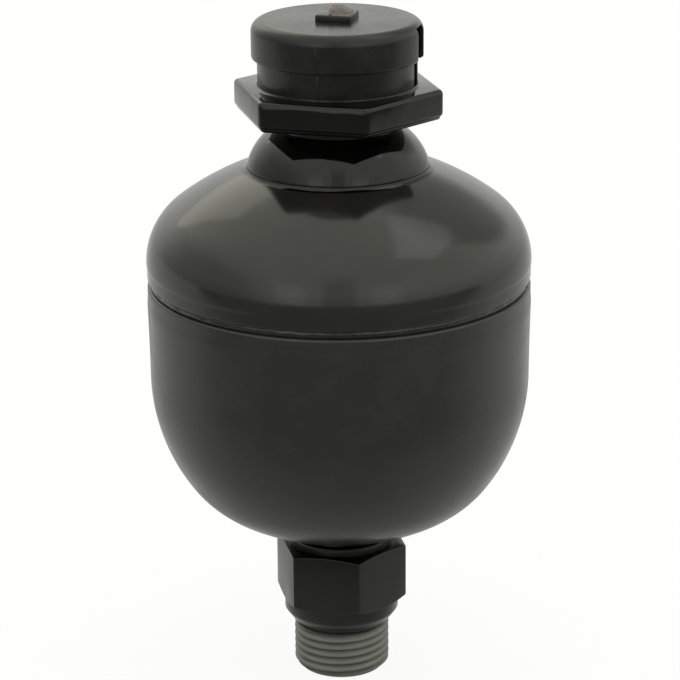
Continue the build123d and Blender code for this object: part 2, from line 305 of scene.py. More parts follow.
def makePaintFilm():
    # sprayed enamel: slow sags, orange peel, cloudy gloss and a few dust nibs under the film
    group, given, out, place = startGroup("paintFilm", [
        ("Tone", "NodeSocketColor", (0.01, 0.01, 0.009, 1)),
        ("Warm Tone", "NodeSocketColor", (0.016, 0.013, 0.010, 1)),
        ("Gloss Roughness", "NodeSocketFloat", 0.15),
        ("Cloudiness", "NodeSocketFloat", 0.05),
        ("Peel Scale", "NodeSocketFloat", 420.0),
        ("Sag Scale", "NodeSocketFloat", 55.0),
        ("Nibs", "NodeSocketFloat", 0.5),
    ], [("Color", "NodeSocketColor"), ("Roughness", "NodeSocketFloat"), ("Height", "NodeSocketFloat")])
    sag = noise(group, place, given["Sag Scale"], 2.5, 0.45)
    peel = noise(group, place, given["Peel Scale"], 1.5, 0.4)
    cloud = noise(group, place, 95.0, 4.0, 0.6)
    nibs = addNode(group, "ShaderNodeTexVoronoi", {"Vector": place, "Scale": 260.0, "Randomness": 1.0})
    speck = grade(group, nibs.outputs["Distance"], 0.11, 0.03)
    draw = addNode(group, "ShaderNodeSeparateColor", {"Color": nibs.outputs["Color"]}).outputs["Red"]
    chosen = grade(group, draw, 0.93, 0.96)
    speck = times(group, speck, chosen, given["Nibs"])
    colour = blendColours(group, grade(group, cloud, 0.42, 0.68), given["Tone"], given["Warm Tone"])
    colour = blendColours(group, times(group, speck, 0.35), colour, (0.10, 0.10, 0.095, 1))
    group.links.new(colour, out["Color"])
    unevenness = times(group, grade(group, cloud, 0.3, 0.7, -1.0, 1.0), given["Cloudiness"])
    gloss = sums(group, "ADD", given["Gloss Roughness"], unevenness)
    group.links.new(sums(group, "MULTIPLY_ADD", speck, 0.2, gloss), out["Roughness"])
    height = sums(group, "MULTIPLY_ADD", sag, 4.0, times(group, peel, 0.35))
    group.links.new(sums(group, "MULTIPLY_ADD", speck, 0.6, height), out["Height"])
    return group


def makeTurnedSteel():
    # tool marks round the axis, grime in random clouds, and painted shade darkening the colour towards the root
    # radius
    group, given, out, place = startGroup("turnedSteel", [
        ("Metal", "NodeSocketColor", (0.32, 0.32, 0.29, 1)),
        ("Grime And Root Shade", "NodeSocketColor", (0.05, 0.05, 0.045, 1)),
        ("Root Radius", "NodeSocketFloat", 0.0081),
        ("Crest Radius", "NodeSocketFloat", 0.009),
        ("Tool Marks", "NodeSocketFloat", 9000.0),
        ("Metal Roughness", "NodeSocketFloat", 0.3),
    ], [("Color", "NodeSocketColor"), ("Roughness", "NodeSocketFloat"), ("Height", "NodeSocketFloat")])
    parts = addNode(group, "ShaderNodeSeparateXYZ", {"Vector": place}).outputs
    squares = sums(group, "MULTIPLY_ADD", parts["X"], parts["X"], times(group, parts["Y"], parts["Y"]))
    radius = sums(group, "SQRT", squares, None)
    # painted shade: the colour darkens from the crest radius in to the root radius, as the thread's hollows fall in
    # shade
    root = addNode(group, "ShaderNodeMapRange", {
        "Value": radius, "From Min": given["Crest Radius"], "From Max": given["Root Radius"],
    }, interpolation_type="SMOOTHSTEP").outputs["Result"]
    cloud = noise(group, place, 240.0, 4.0, 0.6)
    # the dark colour is grime in random clouds everywhere plus the painted shade in the roots
    grimeAndRootShade = times(group, sums(group, "ADD", root, 0.25), grade(group, cloud, 0.3, 0.66, 0.55, 1.0))
    group.links.new(blendColours(group, grimeAndRootShade, given["Metal"], given["Grime And Root Shade"]), out["Color"])
    rings = addNode(group, "ShaderNodeCombineXYZ", {"X": times(group, radius, 0.6), "Z": parts["Z"]}).outputs[0]
    marks = noise(group, rings, given["Tool Marks"], 2.0, 0.6)
    gloss = sums(group, "MULTIPLY_ADD", sums(group, "SUBTRACT", marks, 0.5), 0.14, given["Metal Roughness"])
    group.links.new(sums(group, "MULTIPLY_ADD", root, 0.12, gloss), out["Roughness"])
    group.links.new(sums(group, "MULTIPLY_ADD", marks, 0.4, times(group, cloud, 0.6)), out["Height"])
    return group


def makeMouldedGrain():
    # fine spark-eroded grain with flow clouding, for plastic and rubber
    group, given, out, place = startGroup("mouldedGrain", [
        ("Tone", "NodeSocketColor", (0.02, 0.02, 0.019, 1)),
        ("Bloom Tone", "NodeSocketColor", (0.035, 0.034, 0.032, 1)),
        ("Base Roughness", "NodeSocketFloat", 0.4),
        ("Grain Scale", "NodeSocketFloat", 2600.0),
        ("Clouding", "NodeSocketFloat", 0.5),
    ], [("Color", "NodeSocketColor"), ("Roughness", "NodeSocketFloat"), ("Height", "NodeSocketFloat")])
    grain = noise(group, place, given["Grain Scale"], 2.0, 0.55)
    flow = noise(group, place, 130.0, 5.0, 0.62)
    rub = noise(group, place, 620.0, 3.0, 0.6)
    bloom = times(group, grade(group, flow, 0.36, 0.68), given["Clouding"])
    bloom = sums(group, "MULTIPLY_ADD", grade(group, rub, 0.5, 0.72), times(group, given["Clouding"], 0.35), bloom)
    group.links.new(blendColours(group, bloom, given["Tone"], given["Bloom Tone"]), out["Color"])
    gloss = sums(group, "MULTIPLY_ADD", sums(group, "SUBTRACT", flow, 0.5), 0.25, given["Base Roughness"])
    group.links.new(sums(group, "MULTIPLY_ADD", sums(group, "SUBTRACT", grain, 0.5), 0.12, gloss), out["Roughness"])
    group.links.new(sums(group, "MULTIPLY_ADD", grain, 0.7, times(group, rub, 0.3)), out["Height"])
    return group


finishes = {"paintFilm": makePaintFilm(), "turnedSteel": makeTurnedSteel(), "mouldedGrain": makeMouldedGrain()}


def makeMaterial(name, finish, values, bump, **shaderValues):
    # a finish group feeding one Principled shader; bump is the relief's depth in metres
    material = bpy.data.materials.new(name)
    material.use_nodes = True
    tree = material.node_tree
    shader = tree.nodes["Principled BSDF"]
    film = addNode(tree, "ShaderNodeGroup", node_tree=finishes[finish])
    for key, value in values.items():
        film.inputs[key].default_value = value
    relief = addNode(tree, "ShaderNodeBump", {"Height": film.outputs["Height"], "Strength": 1.0, "Distance": bump})
    tree.links.new(film.outputs["Color"], shader.inputs["Base Color"])
    tree.links.new(film.outputs["Roughness"], shader.inputs["Roughness"])
    tree.links.new(relief.outputs["Normal"], shader.inputs["Normal"])
    for key, value in shaderValues.items():
        shader.inputs[key].default_value = value
    return material


def grey(level, warmth=0.0):
    return (level * (1 + warmth), level, level * (1 - warmth), 1)


domePaint = makeMaterial("glossPaintDome", "paintFilm", {
    "Tone": grey(0.0125, 0.02), "Warm Tone": grey(0.0155, 0.06), "Gloss Roughness": 0.135, "Cloudiness": 0.03,
    "Peel Scale": 380.0, "Sag Scale": 48.0, "Nibs": 0.5}, 0.000012, IOR=1.53)
lowerPaint = makeMaterial("satinPaintLower", "paintFilm", {
    "Tone": grey(0.0195, 0.02), "Warm Tone": grey(0.0235, 0.04), "Gloss Roughness": 0.26, "Cloudiness": 0.06,
    "Peel Scale": 520.0, "Sag Scale": 60.0, "Nibs": 0.6}, 0.00001, IOR=1.5)
beadPaint = makeMaterial("paintOverWeld", "paintFilm", {
    "Tone": grey(0.012), "Warm Tone": grey(0.019, 0.04), "Gloss Roughness": 0.16, "Cloudiness": 0.06,
    "Peel Scale": 900.0, "Sag Scale": 240.0, "Nibs": 0.8}, 0.00013, IOR=1.5)
bossPaint = makeMaterial("thickGlossPaint", "paintFilm", {
    "Tone": grey(0.0012), "Warm Tone": grey(0.0025, 0.05), "Gloss Roughness": 0.06, "Cloudiness": 0.02,
    "Peel Scale": 300.0, "Sag Scale": 95.0, "Nibs": 0.7}, 0.00006, IOR=1.45)
portPaint = makeMaterial("satinBlackHexagon", "paintFilm", {
    "Tone": grey(0.0016), "Warm Tone": grey(0.0028, 0.03), "Gloss Roughness": 0.2, "Cloudiness": 0.05,
    "Peel Scale": 800.0, "Sag Scale": 90.0, "Nibs": 0.6}, 0.000008, IOR=1.46)
threadSteel = makeMaterial("oiledThreadSteel", "turnedSteel", {
    "Metal": (0.25, 0.25, 0.235, 1), "Grime And Root Shade": (0.15, 0.15, 0.14, 1), "Root Radius": 0.00828, "Crest Radius": 0.00902,
    "Tool Marks": 7000.0, "Metal Roughness": 0.5}, 0.000006, Metallic=1.0)
capPlastic = makeMaterial("mouldedCapPlastic", "mouldedGrain", {
    "Tone": grey(0.0065, 0.01), "Bloom Tone": grey(0.0135, 0.02), "Base Roughness": 0.26, "Grain Scale": 2300.0,
    "Clouding": 0.8}, 0.00003, IOR=1.44)
snappedPlastic = makeMaterial("snappedCapPlastic", "mouldedGrain", {
    "Tone": (0.055, 0.048, 0.046, 1), "Bloom Tone": (0.19, 0.16, 0.155, 1), "Base Roughness": 0.4,
    "Grain Scale": 1800.0, "Clouding": 0.9}, 0.00006, IOR=1.46)
diaphragmRubber = makeMaterial("diaphragmRubber", "mouldedGrain", {
    "Tone": grey(0.012), "Bloom Tone": grey(0.028, 0.03), "Base Roughness": 0.55, "Grain Scale": 1500.0,
    "Clouding": 0.6}, 0.00003, IOR=1.5)
sealRubber = makeMaterial("sealRubberAndSteel", "mouldedGrain", {
    "Tone": grey(0.05), "Bloom Tone": grey(0.09, 0.02), "Base Roughness": 0.5, "Grain Scale": 3000.0,
    "Clouding": 0.7}, 0.00001, IOR=1.5)
screwSteel = makeMaterial("blackenedScrewSteel", "turnedSteel", {
    "Metal": (0.16, 0.15, 0.14, 1), "Grime And Root Shade": (0.04, 0.04, 0.036, 1), "Root Radius": 0.0030, "Crest Radius": 0.0066,
    "Tool Marks": 5000.0, "Metal Roughness": 0.38}, 0.000005, Metallic=1.0)
ringSteel = makeMaterial("clampRingSteel", "turnedSteel", {
    "Metal": (0.42, 0.42, 0.40, 1), "Grime And Root Shade": (0.14, 0.13, 0.11, 1), "Root Radius": 0.0290, "Crest Radius": 0.0330,
    "Tool Marks": 2600.0, "Metal Roughness": 0.36}, 0.000008, Metallic=1.0)
buttonSteel = makeMaterial("buttonSteel", "turnedSteel", {
    "Metal": (0.45, 0.45, 0.43, 1), "Grime And Root Shade": (0.16, 0.15, 0.13, 1), "Root Radius": 0.0020, "Crest Radius": 0.0085,
    "Tool Marks": 4000.0, "Metal Roughness": 0.32}, 0.000006, Metallic=1.0)
for node, material in (
    ("closing_button", buttonSteel), ("retaining_ring", ringSteel),
    ("charging_screw", screwSteel), ("bonded_seal", sealRubber),
):
    nodes[node].data.materials.clear()
    nodes[node].data.materials.append(material)
print("finishes mixed")


# Shells

shells = {
    "wall": 3.0,
    "ballRadius": 35.15,
    "knuckleShare": 0.575,
    "crownShare": 1.279,
    "flattening": 54.4,
    "cylinder": 18.05,
    "rim": 35.35,
    "lowerBand": 35.25,
    "upperBand": 35.25,
    "upperRadius": 35.35,
    "upperLength": 3.5,
    "domeDepthShare": 0.574,
    "domeKnuckleShare": 0.359,
    "bandDepth": 3.6,
    "lowerFade": (-0.9, 2.2, 8),  # each band's edge is blended: start and rise from the band, and steps
    "upperFade": (-0.1, -0.8, 6),
    "lipRound": 0.5,
    "upperLipRound": 0.38,
    "groove": 1.3,
    "grooveRoot": 33.95,
    "counterbore": 32.7,
    "ledgeDepth": 7.9,
    "poleHole": 9.7,
    "bossHole": 8.1,
}
seam = (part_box("seam_weld")[0].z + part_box("seam_weld")[1].z) / 2 / mm
ballHeight = seam - shells["cylinder"]
knuckle = shells["knuckleShare"] * shells["ballRadius"]
crown = shells["crownShare"] * shells["ballRadius"]
knuckleOffset = shells["ballRadius"] - knuckle
knuckleCentre = (
    knuckleOffset * math.sin(math.radians(shells["flattening"])),
    ballHeight - knuckleOffset * math.cos(math.radians(shells["flattening"])),
)
crownTurn = -math.degrees(math.acos(knuckleCentre[0] / (crown - knuckle)))
crownCentre = (0, knuckleCentre[1] - (crown - knuckle) * math.sin(math.radians(crownTurn)))
domeDepth = shells["domeDepthShare"] * shells["upperRadius"]
domeKnuckle = shells["domeKnuckleShare"] * shells["upperRadius"]
domeBase = seam + shells["upperLength"]
domeCrown = (shells["upperRadius"] ** 2 - 2 * shells["upperRadius"] * domeKnuckle + domeDepth ** 2) / (
    2 * (domeDepth - domeKnuckle)
)
domeCentre = (0, domeBase + domeDepth - domeCrown)
domeKnuckleCentre = (shells["upperRadius"] - domeKnuckle, domeBase)
domeTurn = math.degrees(math.atan2(domeCrown - domeDepth, domeKnuckleCentre[0]))


def onDome(r, lift):
    return (r, domeCentre[1] + math.sqrt((domeCrown + lift) ** 2 - r ** 2))


def cupArcs(inset, hole):
    # the lower shell's bottom from its pole hole to the ball's widest circle, inset from the skin
    holeTurn = -math.degrees(math.acos(hole / (crown - inset)))
    points = onArc(crownCentre, crown - inset, holeTurn, crownTurn, 1.5)
    points += onArc(knuckleCentre, knuckle - inset, crownTurn, shells["flattening"] - 90, 2)[1:]
    points += onArc((0, ballHeight), shells["ballRadius"] - inset, shells["flattening"] - 90, 0, 2)[1:]
    return points


def bandEdge(full, band, height, fade):
    # eases from the shell's full radius to its turned band
    start, rise, steps = fade
    return [
        (band + (full - band) * (1 + math.cos(math.pi * t)) / 2, height + start + rise * t)
        for t in [k / steps for k in range(steps + 1)]
    ]


def makeLowerShell():
    wall = shells["wall"]
    inner = shells["ballRadius"] - wall
    lip = seam - shells["groove"] / 2
    bandLow = seam - shells["bandDepth"]
    ledge = seam - shells["ledgeDepth"]
    outside = cupArcs(0, shells["poleHole"])
    flare = [
        (shells["ballRadius"] + (shells["rim"] - shells["ballRadius"]) * t * t,
         ballHeight + (bandLow + shells["lowerFade"][0] - ballHeight) * t)
        for t in [k / 10 for k in range(1, 11)]
    ]
    outline = outside + flare
    outline += bandEdge(shells["rim"], shells["lowerBand"], bandLow, shells["lowerFade"])[1:]
    roundOff = shells["lipRound"]
    outline += onArc((shells["lowerBand"] - roundOff, lip - roundOff), roundOff, 0, 90, 15)
    outline += [
        (shells["grooveRoot"], lip), (shells["grooveRoot"], seam), (shells["counterbore"], seam),
        (shells["counterbore"], ledge), (inner, ledge),
    ]
    outline += list(reversed(cupArcs(wall, shells["poleHole"])))
    piece = dress(turn("lowerHalfShell", outline), lowerPaint)
    smooth(piece)
    finishPiece(piece, "lower_shell")


def makeUpperShell():
    inner = shells["counterbore"]
    wall = shells["upperRadius"] - inner
    lip = seam + shells["groove"] / 2
    bandHigh = seam + shells["bandDepth"]
    outline = [(inner, seam)]
    outline += onArc(domeKnuckleCentre, domeKnuckle - wall, 0, domeTurn, 2)
    holeInside, holeOutside = (
        math.degrees(math.acos(shells["bossHole"] / radius)) for radius in (domeCrown - wall, domeCrown)
    )
    outline += onArc(domeCentre, domeCrown - wall, domeTurn, holeInside, 1.5)[1:]
    outline += onArc(domeCentre, domeCrown, holeOutside, domeTurn, 1.5)
    outline += onArc(domeKnuckleCentre, domeKnuckle, domeTurn, 0, 2)[1:-1]
    outline += bandEdge(shells["upperRadius"], shells["upperBand"], bandHigh, shells["upperFade"])
    roundOff = shells["upperLipRound"]
    outline += onArc((shells["upperBand"] - roundOff, lip + roundOff), roundOff, 0, -90, 15)
    outline += [(shells["grooveRoot"], lip), (shells["grooveRoot"], seam)]
    piece = dress(turn("upperHalfShell", outline), domePaint)
    smooth(piece)
    finishPiece(piece, "upper_shell")


makeLowerShell()
makeUpperShell()
print("shells turned")


# Welds

welds = {
    "seamRadius": 34.8,
    "seamCrown": 0.2,
    "neckBead": 1.9,
    "bossInner": 16.05,
    "bossOuter": 16.62,
    "bossFilm": ((0.95, -0.01), (0.72, 0.035), (0.48, 0.10), (0.28, 0.22)),  # out from the bead, up from the dome
}


def makeSeamWeld():
    low, high = (corner.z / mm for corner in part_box("seam_weld"))
    half = (high - low) / 2
    bulge = (half ** 2 + welds["seamCrown"] ** 2) / (2 * welds["seamCrown"])
    lean = math.degrees(math.asin(half / bulge))
    outline = [(shells["grooveRoot"] + 0.03, high), (shells["grooveRoot"] + 0.03, low)]
    outline += onArc((welds["seamRadius"] - bulge, (low + high) / 2), bulge, -lean, lean, 8)
    piece = dress(turn("seamWeldRing", outline, steps=360), beadPaint)
    smooth(piece, 50)
    finishPiece(piece, "seam_weld")


def makeNeckWeld():
    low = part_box("port_weld")[0].z / mm
    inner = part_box("port_weld")[1].x / mm - welds["neckBead"]
    outer = inner + welds["neckBead"]
    toe = [
        (r, crownCentre[1] - math.sqrt((crown + 0.03) ** 2 - r ** 2))
        for r in (inner, inner + 0.7, outer - 0.5, outer)
    ]
    face = [
        (outer, toe[-1][1] - 0.08), (inner + 1.35, low + 1.15), (inner + 0.8, low + 0.62),
        (inner + 0.4, low + 0.22), (inner + 0.12, low),
    ]
    # painted shade: the weld in the crevice between shell and port hexagon wears the darker hexagon paint so the
    # crevice reads dark
    piece = dress(turn("neckWeldRing", toe + face + [(inner, low)], steps=300), portPaint)
    smooth(piece, 50)
    finishPiece(piece, "port_weld")


def makeBossWeld():
    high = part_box("boss_weld")[1].z / mm
    inner, outer = welds["bossInner"], welds["bossOuter"]
    # paint is drawn up into the corner, so the bead ends in a thin concave edge on the dome
    foot = [onDome(r, 0.02) for r in (inner, (inner + outer) / 2, outer)]
    film = [onDome(outer + out, lift) for out, lift in welds["bossFilm"]]
    top = [(outer + 0.17, high + 0.06), (inner, high)]
    piece = dress(turn("bossWeldRing", foot + film + top, steps=300), bossPaint)
    smooth(piece, 50)
    finishPiece(piece, "boss_weld")


makeSeamWeld()
makeNeckWeld()
makeBossWeld()
print("welds laid")


# Gas boss

boss = {
    "spigot": 8.0,
    "seat": 16.02,
    "collarHeight": 9.2,
    "collarArc": 11.4,
    "collarArcOffset": 5.65,
    "collarArcSink": 2.86,
    "collarArcEnd": 62.0,
    "hexAcross": 34.0,
    "hexLength": 5.6,
    "hexBevelHeight": 0.6,
    "hexBevelDepth": 0.35,
    "hexCorner": 0.8,
    "hexEdge": 0.24,
    "gasHole": 2.0,
    "screwHole": 4.0,
    "pocketRadius": 7.3,
    "pocketDepth": 7.6,
    "holeDepth": 13.8,
    "neck": {"radius": 13.0, "depth": 0.92, "pitch": 1.5},
    "skirtRadius": 14.45,
}
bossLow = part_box("gas_boss")[0].z / mm
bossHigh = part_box("gas_boss")[1].z / mm
collarLow = domeCentre[1] + math.sqrt(domeCrown ** 2 - boss["seat"] ** 2) + 0.15
hexLow = collarLow + boss["collarHeight"]
hexHigh = hexLow + boss["hexLength"]


def makeHexCollar():
    # hexagon whose foot is drawn in by a bevel, then all its edges rounded
    deselectAll()
    depth = boss["hexLength"] - boss["hexBevelHeight"]
    middle = hexHigh - depth / 2
    bpy.ops.mesh.primitive_cylinder_add(
        vertices=6, radius=boss["hexAcross"] / math.sqrt(3) * mm, depth=depth * mm,
        location=(0, 0, middle * mm), rotation=(0, 0, math.radians(30)),
    )
    piece = bpy.context.object
    bpy.ops.object.transform_apply(location=True, rotation=True, scale=True)
    for edge in piece.data.edges:
        a, b = (piece.data.vertices[k].co for k in edge.vertices)
        edge.select = abs(a.z - b.z) > depth * mm / 2
    for face in piece.data.polygons:
        face.select = False
    bpy.ops.object.mode_set(mode="EDIT")
    bpy.ops.mesh.select_mode(type="EDGE")
    bpy.ops.mesh.bevel(offset=boss["hexCorner"] * mm, offset_type="OFFSET", segments=4, affect="EDGES")
    bpy.ops.object.mode_set(mode="OBJECT")
    for face in piece.data.polygons:
        face.select = face.normal.z < -0.9
    bpy.ops.object.mode_set(mode="EDIT")
    bpy.ops.mesh.select_mode(type="FACE")
    bpy.ops.mesh.extrude_region_move(TRANSFORM_OT_translate={"value": (0, 0, -boss["hexBevelHeight"] * mm)})
    shrink = 1 - boss["hexBevelDepth"] / (boss["hexAcross"] / 2)
    bpy.ops.transform.resize(value=(shrink, shrink, 1), center_override=(0, 0, 0))
    bpy.ops.object.mode_set(mode="OBJECT")
    roundEdges(piece, boss["hexEdge"], 4, 22)
    return piece


def makeGasBoss():
    edgeTurn = math.degrees(math.asin((boss["collarArcSink"] + 0.12) / boss["collarArc"]))
    seatArc = [onDome(r, 0.05) for r in (boss["spigot"], 10, 12.5, 14.5, boss["seat"])]
    arcCentre = (boss["collarArcOffset"], collarLow - boss["collarArcSink"])
    collarFoot = onArc(arcCentre, boss["collarArc"], edgeTurn, boss["collarArcEnd"], 2)
    footEdge, neckEdge = collarFoot[0][0], collarFoot[-1][0]
    pocketLow = bossHigh - boss["pocketDepth"]
    holeLow = pocketLow - boss["holeDepth"]
    collar = turn("collar", [
        (boss["gasHole"], bossLow), (boss["spigot"] - 0.3, bossLow), (boss["spigot"], bossLow + 0.3)] + seatArc + [
        (boss["seat"], collarLow), (footEdge - 0.08, collarLow), (footEdge - 0.01, collarLow + 0.05)]
        + collarFoot + [
        (neckEdge - 0.1, hexLow - 0.8), (neckEdge + 0.1, hexLow - 0.3), (neckEdge + 0.6, hexLow + 0.1),
        (boss["neck"]["radius"] - 2, hexLow + 0.6), (boss["screwHole"], hexLow + 0.6),
        (boss["screwHole"], holeLow + 2), (boss["gasHole"], holeLow)])
    hexagon = makeHexCollar()
    drill = turn("screwHole", [
        (0, hexLow - 1), (boss["screwHole"], hexLow - 1), (boss["screwHole"], hexHigh + 1), (0, hexHigh + 1),
    ], False, 64)
    cutWith(hexagon, drill, "DIFFERENCE", True)
    neckRadius = boss["neck"]["radius"]
    neckOutline = [
        (boss["screwHole"], hexHigh - 0.2), (neckRadius - 0.95, hexHigh - 0.2),
        (neckRadius - 0.95, hexHigh + 1.2), (neckRadius + 0.01, hexHigh + 2.1),
        (neckRadius + 0.01, bossHigh - 0.85), (neckRadius - 0.9, bossHigh),
        (boss["pocketRadius"] + 0.3, bossHigh), (boss["pocketRadius"], bossHigh - 0.3),
        (boss["pocketRadius"], pocketLow), (boss["screwHole"], pocketLow)]
    neck = cutThread("neck", boss["neck"] | {"low": hexHigh - 0.1, "high": bossHigh, "blank": neckOutline})
    skirt = boss["skirtRadius"]
    meniscus = turn("paintFillet", [
        (skirt + 0.03, hexHigh - 0.1), (skirt + 0.03, hexHigh + 0.4), (skirt + 0.08, hexHigh + 0.42),
        (skirt + 0.16, hexHigh + 0.22), (skirt + 0.34, hexHigh + 0.08), (skirt + 0.62, hexHigh + 0.005),
        (skirt + 0.62, hexHigh - 0.1)])
    dress(neck, screwSteel)
    for part in (collar, hexagon, meniscus):
        dress(part, bossPaint)
    piece = joinAll("gasBossWithHexagon", [collar, hexagon, neck, meniscus])
    smooth(piece, 30)
    finishPiece(piece, "gas_boss")


makeGasBoss()
print("gas boss made")


# Port fitting

port = {
    "thread": {"radius": 9.0, "depth": 0.7, "pitch": 1.5},
    "threadLength": 9.3,
    "endChamfer": 1.1,
    "relief": 8.1,
    "coneLow": 9.8,
    "coneRadius": 9.25,
    "washerRadius": 10.8,
    "washerLow": 12.0,
    "hexLow": 14.0,
    "hexHigh": 25.65,
    "hexAcross": 22.0,
    "faceRadius": 10.8,
    "lowerChamfer": 30.0,
    "upperChamfer": 16.0,
    "edge": 0.14,
    "neck": 9.6,
    "bore": 4.0,
    "throat": 3.0,
    "mouth": 0.6,
    "boreLength": 24.0,
    "seatRadius": 8.4,
    "recess": 2.7,
}


def makePortFitting():
    thread = port["thread"]
    bore, high = port["bore"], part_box("port_fitting")[1].z / mm
    seat = high - port["recess"]
    crest = thread["radius"]
    mouth, chamfer, threadHigh, relief = port["mouth"], port["endChamfer"], port["threadLength"], port["relief"]
    stud = cutThread("stud", thread | {"low": 0, "high": threadHigh + 0.4, "blank": [
        (bore, mouth), (bore + mouth, 0), (crest - chamfer, 0), (crest + 0.01, chamfer),
        (crest + 0.01, threadHigh - 0.2), (relief - 0.05, threadHigh + 0.35), (bore, threadHigh + 0.35)]})
    collar = turn("coneAndWasher", [
        (bore, threadHigh - 0.2), (relief, threadHigh - 0.2), (relief, port["coneLow"] - 0.1),
        (relief + 0.1, port["coneLow"]),
        (port["coneRadius"] - 0.1, port["coneLow"]), (port["coneRadius"], port["coneLow"] + 0.08),
        (port["washerRadius"] - 0.06, port["washerLow"] - 0.06), (port["washerRadius"], port["washerLow"] + 0.06),
        (port["washerRadius"], port["hexLow"] + 0.05), (bore, port["hexLow"] + 0.05)])
    corner = port["hexAcross"] / math.sqrt(3) + 1
    rise = (corner - port["faceRadius"]) * math.tan(math.radians(port["lowerChamfer"]))
    drop = (corner - port["faceRadius"]) * math.tan(math.radians(port["upperChamfer"]))
    hexagon = turn("hexBlank", [
        (bore, port["hexLow"]), (port["faceRadius"], port["hexLow"]), (corner, port["hexLow"] + rise),
        (corner, port["hexHigh"] - drop), (port["faceRadius"], port["hexHigh"]), (bore, port["hexHigh"])], steps=144)
    millHexagon(hexagon, port["hexAcross"])
    roundEdges(hexagon, port["edge"], 3, 20)
    neck = turn("neck", [
        (bore, port["hexHigh"] - 0.1), (port["neck"], port["hexHigh"] - 0.1), (port["neck"], high),
        (port["seatRadius"], high),
        (port["seatRadius"], seat), (port["throat"] + 0.5, seat), (port["throat"], seat - 0.5),
        (port["throat"], port["boreLength"] + 1), (bore, port["boreLength"])])
    dress(stud, threadSteel)
    for part in (collar, hexagon, neck):
        dress(part, portPaint)
    piece = joinAll("portFittingWithHexagon", [stud, collar, hexagon, neck])
    smooth(piece, 30)
    finishPiece(piece, "port_fitting")


makePortFitting()
print("port fitting made")


# Protective cap

cap = {
    "turn": 1.0,
    "inner": 13.1,
    "skirtRadius": 14.45,
    "headRadius": 15.5,
    "skirtLength": 5.0,
    "headLength": 6.9,
    "ceiling": 2.1,
    "step": 1.7,
    "wall": 1.35,
    "shoulder": 2.0,
    "lowerChamfer": 0.6,
    "slotWidth": 2.6,
    "notchWidth": 4.2,
    "slotRoof": 0.7,
    "lineWidth": 0.45,
    "lineHeight": 0.14,
    "lip": 0.13,
    "pad": 6.5,
    "padHeight": 1.2,
    "stubRadius": 2.7,
}


def snapOff(stub, low, high):
    # the moulding gate broke off unevenly: sawn askew, then crumpled by a cloud pattern
    sliceFlat(stub, (0, 0, (high - 0.42) * mm), (0.34, -0.26, 0.9))
    sliceFlat(stub, (-0.7 * mm, 0, (high - 0.25) * mm), (-0.75, -0.2, 0.62))
    makeActive(stub)
    bpy.ops.object.mode_set(mode="EDIT")
    bpy.ops.mesh.select_all(action="SELECT")
    bpy.ops.mesh.quads_convert_to_tris()
    bpy.ops.mesh.subdivide(number_cuts=2)
    bpy.ops.object.mode_set(mode="OBJECT")
    texture = bpy.data.textures.new("crumple", "CLOUDS")
    texture.noise_scale = 0.0011
    crumple = stub.modifiers.new("crumple", "DISPLACE")
    crumple.texture = texture
    crumple.texture_coords = "LOCAL"
    crumple.strength = 0.0012
    crumple.mid_level = 0.55
    bpy.ops.object.modifier_apply(modifier="crumple")
    for vertex in stub.data.vertices:
        vertex.co.z = min(vertex.co.z, (high - 0.02) * mm)


